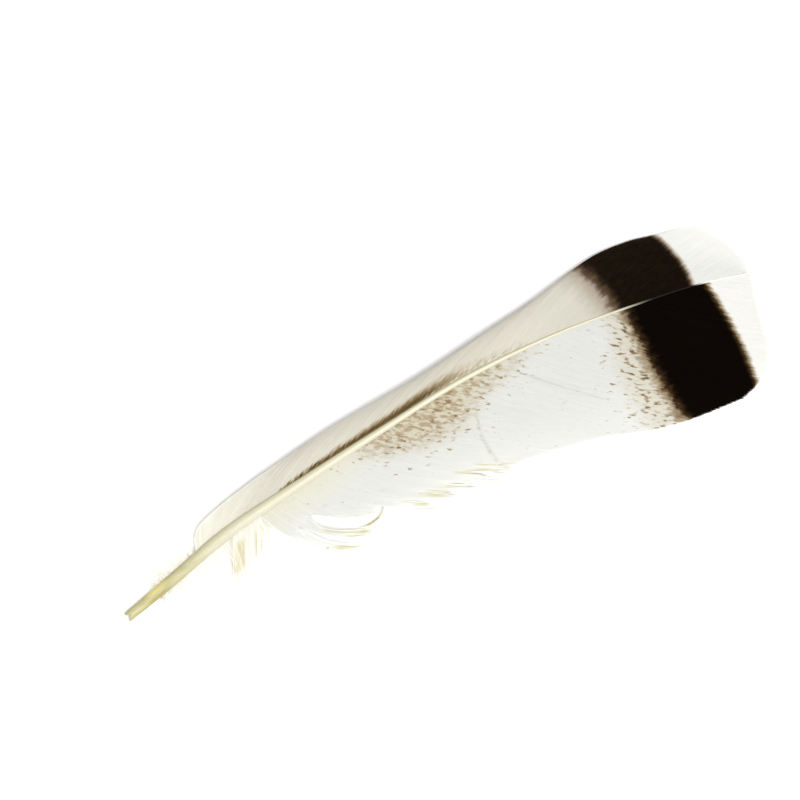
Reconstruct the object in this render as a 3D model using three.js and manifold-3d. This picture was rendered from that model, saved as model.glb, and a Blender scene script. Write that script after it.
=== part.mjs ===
// A turkey's tail feather, lying on a level surface with its upper side up.
//
// Millimetres, +Z up. In the tables, X runs from the cut end of the quill to the tip, +Y is the side
// of the narrow vane, -Y the side of the wide vane, and Z is the height over the surface. The shaft
// arches over the surface, which the feather touches with the quill's end and with the vane's tip.
//
// A feather grows as one piece, so it is one closed solid: a hollow quill that tapers into the shaft,
// and the barbs of both vanes, gathered into locks that are fused to the shaft and to each other.
import * as THREE from "three";
import { mergeVertices } from "three/addons/utils/BufferGeometryUtils.js";
import Module from "manifold-3d";

const wasm = await Module();
wasm.setup();

// ---- driving dimensions ------------------------------------------------------------------------

/** The middle of the feather's box, on the surface, in the tables' coordinates. */
const ORIGIN = { x: 142.1, y: -3.4 };

/** The shaft, from the cut end to the tip: x, then y and z of its centre, its width and its height. */
const SHAFT = [
  [0, 0.0, 1.92, 4.1, 4.1],
  [9, 1.6, 2.1, 4.5, 4.3],
  [24, 4.6, 3.7, 4.8, 4.6],
  [52, 10.2, 7.0, 5.0, 4.4],
  [86, 13.4, 10.2, 3.8, 3.8],
  [124, 16.2, 12.4, 2.8, 3.0],
  [165, 18.2, 12.6, 2.2, 2.4],
  [205, 16.0, 10.2, 1.5, 1.7],
  [240, 10.6, 6.2, 0.9, 1.1],
  [264, 5.9, 3.0, 0.6, 0.8],
  [284, 0.0, 0.9, 0.5, 0.6],
];
const SHAFT_STEPS = 28;
const SHAFT_SIDES = 10;

/** The hollow of the quill, open at the cut, and the notch that the cut has split. */
const HOLLOW = { depth: 24, share: 0.66, endShare: 0.25 };
const NOTCH = { depth: 3.2, width: 1.5 };

/**
 * The barbs of each side, from the quill to the tip: x of a barb's root on the shaft, then x, y and z
 * of its tip, and how far it bows out from its chord, per length of chord.
 */
const NARROW_VANE = [
  [36, 39.6, 15.2, 5.4, 0.0],
  [38, 43.0, 18.2, 5.0, 0.02],
  [42, 53.5, 21.0, 5.0, 0.05],
  [47, 67.0, 23.2, 5.6, 0.08],
  [54, 83.0, 24.9, 6.4, 0.1],
  [75, 107.5, 26.9, 7.6, 0.11],
  [114, 148.5, 27.9, 8.2, 0.11],
  [140, 180.0, 30.5, 7.2, 0.11],
  [160, 205.0, 32.6, 5.6, 0.1],
  [178, 232.0, 36.2, 3.4, 0.1],
  [189, 248.0, 34.7, 2.2, 0.1],
  [197, 259.5, 31.6, 1.4, 0.09],
  [206, 269.5, 29.0, 0.8, 0.08],
  [219, 277.6, 24.2, 0.4, 0.07],
  [233, 281.2, 17.6, 0.2, 0.06],
  [250, 283.6, 10.8, 0.2, 0.06],
  [267, 284.6, 5.0, 0.3, 0.05],
  [281, 284.2, 1.0, 0.4, 0.0],
];
const WIDE_VANE = [
  [66, 98.5, -21.0, 1.0, 0.28],
  [76, 108.0, -17.0, 1.8, 0.22],
  [89, 126.0, -19.0, 2.2, 0.17],
  [104, 146.0, -20.8, 2.2, 0.14],
  [119, 167.0, -22.4, 2.2, 0.1],
  [129, 180.0, -24.2, 2.0, 0.08],
  [145, 202.0, -29.6, 1.6, 0.06],
  [161, 219.0, -36.1, 1.1, 0.05],
  [176, 235.0, -40.2, 0.6, 0.04],
  [190, 250.0, -42.2, 0.2, 0.05],
  [198, 257.6, -43.0, 0.1, 0.06],
  [205, 262.6, -42.1, 0.1, 0.07],
  [215, 268.8, -39.8, 0.1, 0.08],
  [226, 274.0, -34.8, 0.1, 0.09],
  [235, 277.5, -28.5, 0.1, 0.09],
  [242, 279.0, -23.0, 0.2, 0.08],
  [251, 280.4, -16.5, 0.2, 0.07],
  [261, 281.8, -10.3, 0.2, 0.06],
  [273, 283.6, -4.1, 0.3, 0.05],
  [281, 284.2, -0.6, 0.4, 0.0],
];
const NARROW_DOWN = [
  [17, 13.5, 7.6, 1.4, 0.0],
  [24, 18.5, 12.6, 1.6, 0.0],
  [30, 25.0, 17.0, 2.2, 0.0],
  [36, 34.0, 17.8, 3.4, 0.0],
];
const WIDE_DOWN = [
  [16, 13.4, -2.0, 0.5, 0.0],
  [24, 22.8, -3.4, 0.5, 0.0],
  [30, 31.8, -6.4, 0.5, 0.02],
  [36, 37.4, -9.6, 0.5, 0.04],
  [42, 41.8, -12.0, 0.6, 0.04],
  [48, 45.2, -12.6, 0.6, 0.0],
  [54, 50.8, -11.8, 0.8, -0.12],
  [60, 55.4, -12.0, 1.0, -0.28],
  [65.5, 60.4, -9.6, 1.2, -0.42],
];

/** How many locks the unbroken length of each vane is gathered into, and the down of each side. */
const LOCKS = { narrow: 24, wide: 23, narrowDown: 4, wideDown: 9 };

/**
 * The wide vane is torn up to here. Its locks there, by their roots and their outer corners, and by
 * how the first and the last barb part from their neighbours: the share of the way out where each
 * starts to, the power by which it does, and how far it sags half-way out.
 */
const TORN_TO = 119;
const TORN_LOCKS = [
  {
    roots: [66, 71],
    corners: [[95.8, -21.4, 0.9], [98.7, -20.4, 1.1]],
    parting: [[0.4, 0.8, 0], [0.4, 0.8, 0.3]],
  },
  {
    roots: [71, 76],
    corners: [[102.8, -18.8, 1.6], [105.2, -17.4, 1.8]],
    parting: [[0.33, 0.8, 0], [0.33, 0.8, 1.9]],
  },
  {
    roots: [76, 82],
    corners: [[106.2, -12.2, 3.0], [110.6, -11.6, 3.2]],
    parting: [[0.3, 0.6, -1.5], [0.55, 0.6, 0]],
  },
  {
    roots: [82, 89],
    corners: [[111.2, -10.8, 3.4], [113.4, -7.2, 4.4]],
    parting: [[0.6, 1.5, 0], [0.4, 1.5, 0]],
  },
  {
    roots: [89, 94],
    corners: [[128.4, -20.4, 1.7], [130.6, -19.4, 1.8]],
    parting: [[0.55, 2.0, 0], [0.55, 2.0, 0]],
  },
  {
    roots: [94, 101],
    corners: [[140.4, -23.0, 1.6], [143.4, -22.4, 1.6]],
    parting: [[0.6, 2.0, 0], [0.6, 2.0, 0]],
  },
  {
    roots: [101, 107],
    corners: [[147.0, -23.6, 1.6], [149.4, -22.8, 1.7]],
    parting: [[0.7, 1.6, 0], [0.7, 1.6, 0]],
  },
  {
    roots: [107, 113],
    corners: [[158.2, -26.2, 1.3], [160.8, -25.4, 1.4]],
    parting: [[0.7, 1.6, 0], [0.7, 1.6, 0]],
  },
  {
    roots: [113, 119],
    corners: [[164.2, -24.2, 1.8], [166.8, -22.6, 2.2]],
    parting: [[0.75, 1.5, 0], [0.75, 1.5, 0]],
  },
];

/** The level way in which a torn barb sags, back towards the quill. */
const SAG_WAY = new THREE.Vector3(-0.7, -0.7, 0);

/**
 * A lock's section is a flat diamond: its thickness at the root and the tip, and how far it lies over
 * each neighbour. It narrows to the share end over the last part of its length, and some locks fall
 * short of the edge by up to the share uneven.
 */
const THICK = { root: 1.0, tip: 0.5 };
const OVERLAP = 1.0;
const WHOLE = { steps: [0, 0.25, 0.5, 0.75, 0.94, 1], end: 0.85, last: 0.06, uneven: 0 };
const TORN = { steps: [0, 0.18, 0.33, 0.45, 0.6, 0.75, 0.87, 1], end: 0.16, last: 0.16, uneven: 0 };
const FLUFF = { steps: [0, 0.35, 0.6, 0.82, 1], end: 0.12, last: 0.45, uneven: 0.24 };

/** How far every barb arches up, per length of chord. */
const ARCH = 0.06;

/** A barb starts this far beyond the shaft's centre line, so that both vanes grow through it. */
const ROOT_INSET = 0.5;

// ---- curves ------------------------------------------------------------------------------------

/** One column of a table at x: a cubic through the rows, sloped at each row as its neighbours are. */
function smooth(rows, column, x) {
  const last = rows.length - 1;
  let i = 0;
  while (i < last - 1 && x > rows[i + 1][0]) i += 1;
  const slope = (k) => {
    const before = rows[Math.max(k - 1, 0)];
    const after = rows[Math.min(k + 1, last)];
    return (after[column] - before[column]) / (after[0] - before[0]);
  };
  const span = rows[i + 1][0] - rows[i][0];
  const u = (x - rows[i][0]) / span;
  const rise = u * u * (3 - 2 * u);
  const leaving = u * (1 - u) * (1 - u) * span;
  const arriving = u * u * (1 - u) * span;
  const level = rows[i][column] * (1 - rise) + rows[i + 1][column] * rise;
  return level + leaving * slope(i) - arriving * slope(i + 1);
}

/** A point of the shaft's centre line. */
function shaftPoint(x) {
  return new THREE.Vector3(x, smooth(SHAFT, 1, x), smooth(SHAFT, 2, x));
}

/** The shaft's direction at x, and the level direction across it, towards the narrow vane. */
function shaftAxes(x) {
  const along = shaftPoint(x + 0.5).sub(shaftPoint(x - 0.5)).normalize();
  const across = new THREE.Vector3(-along.y, along.x, 0).normalize();
  return { along, across };
}

/**
 * The barb rooted at x, as a function of the way out from 0 to 1: a parabola from the shaft to the
 * vane's edge. side is 1 on the narrow vane, -1 on the wide one. The corner of a torn lock draws it
 * aside, from the first number of parting on, by the power that is its second; the third is its sag.
 */
function barb(rows, side, x, corner, parting) {
  const root = THREE.MathUtils.clamp(x, rows[0][0], rows.at(-1)[0]);
  const [tipX, tipY, tipZ, bow] = [1, 2, 3, 4].map((column) => smooth(rows, column, root));
  const tip = new THREE.Vector3(tipX, tipY, tipZ);
  const start = shaftPoint(root).addScaledVector(shaftAxes(root).across, -side * ROOT_INSET);
  const chord = tip.clone().sub(start);
  const outward = new THREE.Vector3(-chord.y, chord.x, 0).setLength(side * bow * chord.length());
  const middle = start.clone().lerp(tip, 0.5).add(outward);
  middle.z += ARCH * chord.length();
  const curve = new THREE.QuadraticBezierCurve3(start, middle, tip);
  if (!corner) return (t) => curve.getPoint(t);
  const aside = new THREE.Vector3(...corner).sub(tip);
  const [from, power, sag] = parting;
  const parted = (t) => Math.max(0, (t - from) / (1 - from));
  const sagging = (t) => sag * Math.sin(Math.PI * Math.sqrt(parted(t))) ** 2;
  const drawn = (t) => curve.getPoint(t).addScaledVector(aside, parted(t) ** power);
  return (t) => drawn(t).addScaledVector(SAG_WAY, sagging(t));
}

// ---- solids ------------------------------------------------------------------------------------

/** A closed solid through rings of points, each ring of the same count, capped at both ends. */
function loft(rings) {
  const count = rings[0].length;
  const faces = [];
  for (let r = 0; r + 1 < rings.length; r += 1) {
    for (let i = 0; i < count; i += 1) {
      const j = (i + 1) % count;
      const [a, b] = [r * count + i, r * count + j];
      faces.push(a, b, b + count, a, b + count, a + count);
    }
  }
  const end = (rings.length - 1) * count;
  for (let i = 1; i + 1 < count; i += 1) {
    faces.push(0, i + 1, i);
    faces.push(end, end + i, end + i + 1);
  }
  const points = rings.flat().flatMap((p) => [p.x, p.y, p.z]);
  const geometry = new THREE.BufferGeometry();
  geometry.setAttribute("position", new THREE.Float32BufferAttribute(points, 3));
  geometry.setIndex(faces);
  return solid(geometry);
}

/** A three.js geometry as a solid that can be joined and cut. */
function solid(geometry) {
  geometry.deleteAttribute("normal");
  geometry.deleteAttribute("uv");
  const merged = mergeVertices(geometry);
  return new wasm.Manifold(
    new wasm.Mesh({
      numProp: 3,
      vertProperties: merged.attributes.position.array,
      triVerts: new Uint32Array(merged.index.array),
    }),
  );
}

/** A ring across the shaft at x, with its width and height multiplied by scale. */
function shaftRing(x, scale) {
  const { along, across } = shaftAxes(x);
  const up = new THREE.Vector3().crossVectors(along, across);
  const halfWidth = (smooth(SHAFT, 3, x) / 2) * scale;
  const halfHeight = (smooth(SHAFT, 4, x) / 2) * scale;
  return Array.from({ length: SHAFT_SIDES }, (_, i) => {
    const angle = (i / SHAFT_SIDES) * 2 * Math.PI;
    return shaftPoint(x)
      .addScaledVector(across, halfWidth * Math.cos(angle))
      .addScaledVector(up, halfHeight * Math.sin(angle));
  });
}

function shaft() {
  const tip = SHAFT.at(-1)[0];
  const rings = [];
  for (let i = 0; i <= SHAFT_STEPS; i += 1) rings.push(shaftRing((tip * i) / SHAFT_STEPS, 1));
  return loft(rings);
}

/** The air inside the quill: it narrows inwards from the cut, as the dried pith does. */
function hollow() {
  const { depth, share, endShare } = HOLLOW;
  const rings = [-1, 0, depth * 0.6, depth].map((x) => {
    const inwards = Math.max(x, 0) / depth;
    return shaftRing(x, THREE.MathUtils.lerp(share, endShare, inwards ** 2));
  });
  return loft(rings);
}

/** The split in the cut end: a wedge through the quill's height. */
function notch() {
  const reach = SHAFT[0][4];
  const profile = new THREE.Shape([
    new THREE.Vector2(-1, -NOTCH.width * 0.65),
    new THREE.Vector2(NOTCH.depth, 0),
    new THREE.Vector2(-1, NOTCH.width * 0.65),
  ]);
  const wedge = new THREE.ExtrudeGeometry(profile, { depth: 2 * reach, bevelEnabled: false });
  wedge.translate(0, 0, SHAFT[0][2] - reach);
  wedge.rotateZ(Math.atan2(shaftAxes(0).along.y, shaftAxes(0).along.x));
  return solid(wedge);
}

/**
 * A lock: the web between its first and its last barb, a flat diamond in section, with rings at the
 * form's steps on the way out. It ends at the share reach of the way.
 */
function lock(first, last, side, form, reach = 1) {
  const rings = form.steps.map((step) => {
    const t = step * reach;
    const near = first(t);
    const far = last(t);
    const narrowing = THREE.MathUtils.clamp((step - 1) / form.last + 1, 0, 1);
    const width = 1 - (1 - form.end) * narrowing ** 1.5;
    const middle = near.clone().lerp(far, 0.5);
    const half = far.sub(near).multiplyScalar(width / 2);
    const up = new THREE.Vector3(0, 0, THREE.MathUtils.lerp(THICK.root, THICK.tip, t) / 2);
    const ring = [
      middle.clone().add(half),
      middle.clone().sub(up),
      middle.clone().sub(half),
      middle.clone().add(up),
    ];
    return side > 0 ? ring : ring.reverse();
  });
  return loft(rings);
}

/**
 * Where to part a vane into locks of about the same width, from one root to another: half by the
 * way along the shaft, half by the way along the edge.
 */
function partings(rows, from, to, count) {
  const tipAt = (x) => new THREE.Vector2(smooth(rows, 1, x), smooth(rows, 2, x));
  const samples = 400;
  const roots = Array.from({ length: samples + 1 }, (_, i) => from + ((to - from) * i) / samples);
  const edge = [0];
  for (let i = 1; i <= samples; i += 1) {
    edge.push(edge[i - 1] + tipAt(roots[i]).distanceTo(tipAt(roots[i - 1])));
  }
  const share = (i) => (i / samples + edge[i] / edge[samples]) / 2;
  const cuts = [];
  for (let i = 0; i <= samples; i += 1) if (share(i) >= cuts.length / count - 1e-9) cuts.push(roots[i]);
  return cuts;
}

/** A stretch of a vane as locks side by side, each as far over its neighbours as OVERLAP says. */
function locks(rows, side, from, to, count, form) {
  const cuts = partings(rows, from, to, count);
  return Array.from({ length: count }, (_, i) => {
    const first = barb(rows, side, cuts[i] - OVERLAP / 2);
    const last = barb(rows, side, cuts[i + 1] + OVERLAP / 2);
    const reach = 1 - form.uneven * Math.sin(2.4 * i) ** 2;
    return lock(first, last, side, form, reach);
  });
}

/** All barbs of one table as locks. */
function tract(rows, side, count, form) {
  return locks(rows, side, rows[0][0], rows.at(-1)[0], count, form);
}

/** The locks of the wide vane that have come apart. */
function tornLocks() {
  return TORN_LOCKS.map(({ roots, corners, parting }) => {
    const first = barb(WIDE_VANE, -1, roots[0] - OVERLAP / 2, corners[0], parting[0]);
    const last = barb(WIDE_VANE, -1, roots[1] + OVERLAP / 2, corners[1], parting[1]);
    return lock(first, last, -1, TORN);
  });
}

/** What lies below the surface, which presses the lowest barbs and the quill's rim flat. */
function underSurface() {
  const slab = new THREE.BoxGeometry(400, 200, 20);
  slab.translate(ORIGIN.x, ORIGIN.y, -10);
  return solid(slab);
}

function feather() {
  const whole = wasm.Manifold.union([
    shaft(),
    ...tract(NARROW_VANE, 1, LOCKS.narrow, WHOLE),
    ...locks(WIDE_VANE, -1, TORN_TO, WIDE_VANE.at(-1)[0], LOCKS.wide, WHOLE),
    ...tornLocks(),
    ...tract(NARROW_DOWN, 1, LOCKS.narrowDown, FLUFF),
    ...tract(WIDE_DOWN, -1, LOCKS.wideDown, FLUFF),
  ]);
  return whole.subtract(hollow()).subtract(notch()).subtract(underSurface());
}

/** A solid as a three.js geometry. */
function geometryOf(made) {
  const { vertProperties, triVerts } = made.getMesh();
  const geometry = new THREE.BufferGeometry();
  geometry.setAttribute("position", new THREE.BufferAttribute(vertProperties, 3));
  geometry.setIndex(new THREE.BufferAttribute(triVerts, 1));
  geometry.computeVertexNormals();
  return geometry;
}

const horn = new THREE.MeshStandardMaterial({ color: 0xe9e5d8, roughness: 0.8, metalness: 0 });
const mesh = new THREE.Mesh(geometryOf(feather()), horn);
mesh.name = "feather";
mesh.position.set(-ORIGIN.x, -ORIGIN.y, 0);

const part = new THREE.Group();
part.add(mesh);

export default part;
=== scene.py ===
import math

import bpy
import numpy as np
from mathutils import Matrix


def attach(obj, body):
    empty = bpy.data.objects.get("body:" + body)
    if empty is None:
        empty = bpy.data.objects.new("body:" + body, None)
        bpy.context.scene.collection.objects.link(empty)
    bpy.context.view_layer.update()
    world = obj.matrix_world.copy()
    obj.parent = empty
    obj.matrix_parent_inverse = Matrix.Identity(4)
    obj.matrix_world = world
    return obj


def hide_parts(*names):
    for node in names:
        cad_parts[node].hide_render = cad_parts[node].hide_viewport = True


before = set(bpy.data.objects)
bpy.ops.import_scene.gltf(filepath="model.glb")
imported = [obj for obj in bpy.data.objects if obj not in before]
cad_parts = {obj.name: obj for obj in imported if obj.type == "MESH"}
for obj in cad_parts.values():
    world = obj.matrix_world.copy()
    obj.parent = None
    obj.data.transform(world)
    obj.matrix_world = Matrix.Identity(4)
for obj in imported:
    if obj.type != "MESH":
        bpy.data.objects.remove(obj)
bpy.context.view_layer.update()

# ---- The table, the light and the camera ----
# The feather lies on a pale matt table top under a large soft lamp, in a white room. The camera
# looks straight down on it, turned so that the quill is at the lower left.

scene = bpy.context.scene

TABLE_SIDE = 6.0
TABLE_WHITE = (0.9, 0.9, 0.9, 1.0)

# The middle of the feather's box in the feather's own millimetres, where x runs along it from the
# cut end of the quill and y towards the narrow vane.
MIDDLE = np.array([142.1, -3.4, 0.0])

# The point that the camera looks at and how wide a strip it sees, in those millimetres, how far it
# is turned, and its height in metres.
AIM = np.array([137.58, 23.21, 0.0])
SEEN_WIDTH = 320.0
TURNED = math.radians(29.0)
CAMERA_HEIGHT = 1.6


def to_metres(points):
    """Feather millimetres to the frame's metres: the box's middle is taken off, then a thousandth."""
    return (np.asarray(points, float) - MIDDLE) / 1000.0


def feed(tree, socket, value):
    """Links an output to a socket, or sets the socket to a plain value."""
    if isinstance(value, bpy.types.NodeSocket):
        tree.links.new(value, socket)
    else:
        socket.default_value = value


def node(tree, kind, inputs=(), out=0, **settings):
    """A shader node with these settings and inputs, by name or place; gives one of its outputs."""
    made = tree.nodes.new(kind)
    for key, value in settings.items():
        setattr(made, key, value)
    for key, value in dict(inputs).items():
        feed(tree, made.inputs[key], value)
    return made.outputs[out]


def new_material(name):
    """An empty node material and its tree."""
    material = bpy.data.materials.new(name)
    material.use_nodes = True
    material.node_tree.nodes.clear()
    return material, material.node_tree


def finish_material(tree, shader):
    """Makes the shader the material's surface."""
    made = tree.nodes.new("ShaderNodeOutputMaterial")
    tree.links.new(shader, made.inputs["Surface"])


table_top, tree = new_material("table_top")
grain = node(tree, "ShaderNodeTexNoise", {"Scale": 900.0, "Detail": 2.0}, noise_dimensions="3D")
bump = node(tree, "ShaderNodeBump", {"Strength": 0.04, "Distance": 0.0002, "Height": grain})
paper = node(tree, "ShaderNodeBsdfPrincipled",
             {"Base Color": TABLE_WHITE, "Roughness": 0.9, "Specular IOR Level": 0.1,
              "Normal": bump})
clear = node(tree, "ShaderNodeBsdfTransparent")
seen_from_below = node(tree, "ShaderNodeNewGeometry", out="Backfacing")
finish_material(tree, node(tree, "ShaderNodeMixShader", {0: seen_from_below, 1: paper, 2: clear}))

half = TABLE_SIDE / 2
table_mesh = bpy.data.meshes.new("table")
table_mesh.from_pydata(
    [(-half, -half, 0.0), (half, -half, 0.0), (half, half, 0.0), (-half, half, 0.0)],
    [], [(0, 1, 2, 3)])
table = bpy.data.objects.new("table", table_mesh)
table_mesh.materials.append(table_top)
scene.collection.objects.link(table)

ROOM_LIGHT = 0.85
room = bpy.data.worlds.new("room")
room.use_nodes = True
walls = room.node_tree.nodes["Background"]
walls.inputs["Color"].default_value = (1.0, 1.0, 1.0, 1.0)
walls.inputs["Strength"].default_value = ROOM_LIGHT
scene.world = room

# Where the lamp is and its side, in metres, and its power.
LAMP_FROM = np.array([0.12, -0.40, 1.54])
LAMP_SIDE = 0.9
LAMP_WATTS = 30.0
LAMP_COLOUR = (1.0, 0.985, 0.96)
lamp_data = bpy.data.lights.new("soft_lamp", "AREA")
lamp_data.shape = "SQUARE"
lamp_data.size = LAMP_SIDE
lamp_data.energy = LAMP_WATTS
lamp_data.color = LAMP_COLOUR
lamp = bpy.data.objects.new("soft_lamp", lamp_data)
lamp.location = LAMP_FROM
lamp.rotation_euler = (
    math.acos(LAMP_FROM[2] / np.linalg.norm(LAMP_FROM)), 0.0,
    math.atan2(LAMP_FROM[1], LAMP_FROM[0]) + math.pi / 2)
scene.collection.objects.link(lamp)

SENSOR_WIDTH = 36.0
camera_data = bpy.data.cameras.new("camera")
camera_data.sensor_width = SENSOR_WIDTH
camera_data.lens = SENSOR_WIDTH * CAMERA_HEIGHT / (SEEN_WIDTH / 1000.0)
camera_data.clip_start = 0.01
camera_data.clip_end = 50.0
camera = bpy.data.objects.new("camera", camera_data)
aim = to_metres(AIM)
camera.location = (aim[0], aim[1], CAMERA_HEIGHT)
camera.rotation_euler = (0.0, 0.0, -TURNED)
scene.collection.objects.link(camera)
scene.camera = camera
scene.view_settings.view_transform = "Standard"

# ---- The shaft ----
# One horn tube that grew as a whole: the hollow, yellowish quill, open and split where it was cut,
# and the shaft proper, filled with pith, creamy and glossy, that thins to a hair at the tip. It is
# rounded on its upper side and has a groove along the underside.

# x, then y and z of the centre, width and height, all in millimetres, as every length on the
# feather is here.
SHAFT = np.array([
    [0, 0.0, 1.92, 4.1, 4.1],
    [9, 1.6, 2.1, 4.5, 4.3],
    [24, 4.6, 3.7, 4.8, 4.6],
    [52, 10.2, 7.0, 5.0, 4.4],
    [86, 13.4, 10.2, 3.8, 3.8],
    [124, 16.2, 12.4, 2.8, 3.0],
    [165, 18.2, 12.6, 2.2, 2.4],
    [205, 16.0, 10.2, 1.5, 1.7],
    [240, 10.6, 6.2, 0.9, 1.1],
    [264, 5.9, 3.0, 0.6, 0.8],
    [284, 0.0, 0.9, 0.5, 0.6]], float)
SHAFT_SIDES = 32

# The quill's hollow: how deep it goes, and its share of the quill's thickness at the rim and at its
# end. The V in the rim: its depth, half its width, and how soon it fades inwards.
HOLLOW_DEPTH, HOLLOW_SHARE, HOLLOW_END_SHARE = 24.0, 0.72, 0.2
NOTCH_DEPTH, NOTCH_HALF_WIDTH, NOTCH_FADES = 2.6, 0.9, 3.6

# The groove: its depth as a share of the height, its angle to either side, and where it begins and
# where it is full. No point of the shaft is lower than SHAFT_LOWEST.
GROOVE_SHARE, GROOVE_SPREAD, GROOVE_FROM, GROOVE_FULL = 0.22, 0.34, 58.0, 88.0
SHAFT_LOWEST = 0.02


def smooth(rows, column, x):
    """One column of a table at x: a cubic from row to row, sloped at each row as the chord between
    its neighbours is."""
    at = rows[:, 0]
    x = np.asarray(x, float)
    every = np.arange(len(at))
    before, after = np.maximum(every - 1, 0), np.minimum(every + 1, len(at) - 1)
    slope = (rows[after, column] - rows[before, column]) / (at[after] - at[before])
    i = np.clip(np.searchsorted(at, x, side="left") - 1, 0, len(at) - 2)
    span = at[i + 1] - at[i]
    u = (x - at[i]) / span
    rise = u * u * (3 - 2 * u)
    level = rows[i, column] * (1 - rise) + rows[i + 1, column] * rise
    leaving = u * (1 - u) ** 2 * span * slope[i]
    arriving = u * u * (1 - u) * span * slope[i + 1]
    return level + leaving - arriving


def unit(vectors):
    """The vectors at length one."""
    return vectors / np.linalg.norm(vectors, axis=-1, keepdims=True)


def shaft_point(x):
    """The shaft's centre line at x."""
    x = np.asarray(x, float)
    return np.stack([x, smooth(SHAFT, 1, x), smooth(SHAFT, 2, x)], axis=-1)


def shaft_axes(x):
    """Along the shaft at x, level across it towards the narrow vane, and up from it."""
    along = unit(shaft_point(np.asarray(x) + 0.5) - shaft_point(np.asarray(x) - 0.5))
    across = unit(np.stack([-along[..., 1], along[..., 0], np.zeros_like(along[..., 0])], -1))
    return along, across, np.cross(along, across)


def closed_mesh(name, rings, extra=None, share=None):
    """A mesh of closed tubes. rings is (tubes, rings, sides, 3) in feather millimetres: each tube is
    quads from ring to ring, with a face over each end. extra is one vector for each vertex, kept
    as the attribute barb; share is one number for each, kept as the attribute share."""
    tubes, count, sides = rings.shape[:3]
    corner = np.arange(tubes * count * sides).reshape(tubes, count, sides)
    turned = np.roll(corner, -1, axis=2)
    walls = np.stack([corner[:, :-1], turned[:, :-1], turned[:, 1:], corner[:, 1:]], axis=-1)
    starts, ends = corner[:, 0, ::-1], corner[:, -1]
    corners = np.concatenate([walls.ravel(), starts.ravel(), ends.ravel()])
    sizes = np.concatenate([np.full(walls.size // 4, 4), np.full(2 * tubes, sides)])
    mesh = bpy.data.meshes.new(name)
    mesh.vertices.add(corner.size)
    mesh.vertices.foreach_set("co", to_metres(rings.reshape(-1, 3)).ravel())
    mesh.loops.add(len(corners))
    mesh.loops.foreach_set("vertex_index", corners.astype(np.int32))
    mesh.polygons.add(len(sizes))
    mesh.polygons.foreach_set("loop_start", (np.cumsum(sizes) - sizes).astype(np.int32))
    mesh.polygons.foreach_set("loop_total", sizes.astype(np.int32))
    mesh.update(calc_edges=True)
    if extra is not None:
        kept = mesh.attributes.new("barb", "FLOAT_VECTOR", "POINT")
        kept.data.foreach_set("vector", extra.reshape(-1).astype(np.float32))
    if share is not None:
        kept = mesh.attributes.new("share", "FLOAT", "POINT")
        kept.data.foreach_set("value", share.reshape(-1).astype(np.float32))
    return mesh


def piece(name, mesh, material, smooth_faces=False):
    """Shows the mesh as a named piece of the feather, which rides on its one body."""
    mesh.polygons.foreach_set("use_smooth", np.full(len(mesh.polygons), smooth_faces))
    mesh.materials.append(material)
    made = bpy.data.objects.new(name, mesh)
    scene.collection.objects.link(made)
    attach(made, "root")
    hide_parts("feather")


def shaft_rings():
    """Rings down the inside of the quill to its cut rim, then along the outside to the tip. A ring
    is an ellipse; on the underside a groove is pressed in, deepest in the middle, past the quill.
    The rim is ragged, and set back by a V on the upper and the lower side. Gives the rings, and
    how far across each vertex is, from -1 on the wide vane's side to 1."""
    inside = np.linspace(HOLLOW_DEPTH, 0.0, 14)
    outside = np.concatenate([np.linspace(0.0, 12.0, 16), np.linspace(14.0, 284.0, 150)])
    x = np.concatenate([inside, outside])[:, None]
    is_inside = np.concatenate([np.ones_like(inside), np.zeros_like(outside)])[:, None]
    angle = (np.arange(SHAFT_SIDES) + 0.5)[None, :] / SHAFT_SIDES * 2 * np.pi
    deep = x / HOLLOW_DEPTH
    inner_share = HOLLOW_SHARE + (HOLLOW_END_SHARE - HOLLOW_SHARE) * np.clip(deep, 0, 1) ** 2
    share = np.where(is_inside > 0, inner_share, 1.0)
    begun = np.clip((x - GROOVE_FROM) / (GROOVE_FULL - GROOVE_FROM), 0, 1)
    groove = np.exp(-((angle - 1.5 * np.pi) / GROOVE_SPREAD) ** 2) * begun
    groove = groove * GROOVE_SHARE * (1 - is_inside)
    sideways = np.cos(angle) * smooth(SHAFT, 3, x) / 2 * share
    upwards = np.sin(angle) * smooth(SHAFT, 4, x) / 2 * share * (1 - groove * 2)
    split = NOTCH_DEPTH * np.clip(1 - np.abs(sideways) / NOTCH_HALF_WIDTH, 0, 1)
    ragged = 0.22 * np.sin(3 * angle + 0.6) + 0.16 * np.sin(7 * angle) + 0.3
    back = (split + ragged) * np.exp(-x / NOTCH_FADES)
    along, across, up = shaft_axes(x[:, 0])
    rings = shaft_point(x[:, 0])[:, None] + along[:, None] * back[..., None]
    rings = rings + across[:, None] * sideways[..., None] + up[:, None] * upwards[..., None]
    rings[..., 2] = np.maximum(rings[..., 2], SHAFT_LOWEST)
    return rings[None], np.broadcast_to(np.cos(angle), rings.shape[:2])[None]


def calc(tree, operation, *values):
    """One Math node on numbers or other nodes' outputs."""
    return node(tree, "ShaderNodeMath", dict(enumerate(values)), operation=operation)


def times(tree, first, *others):
    """The product of two or more numbers or outputs."""
    for other in others:
        first = calc(tree, "MULTIPLY", first, other)
    return first


def plus(tree, first, second):
    """The sum of two numbers or outputs."""
    return calc(tree, "ADD", first, second)


def swing(tree, value, width):
    """A value from 0 to 1 as a shift to either side, width from one end to the other."""
    return times(tree, calc(tree, "SUBTRACT", value, 0.5), width)


def ramp(tree, value, low, high, to_low=0.0, to_high=1.0, kind="SMOOTHSTEP"):
    """Eases from to_low to to_high while value goes from low to high."""
    return node(tree, "ShaderNodeMapRange",
                {"Value": value, "From Min": low, "From Max": high,
                 "To Min": to_low, "To Max": to_high}, interpolation_type=kind)


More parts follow.
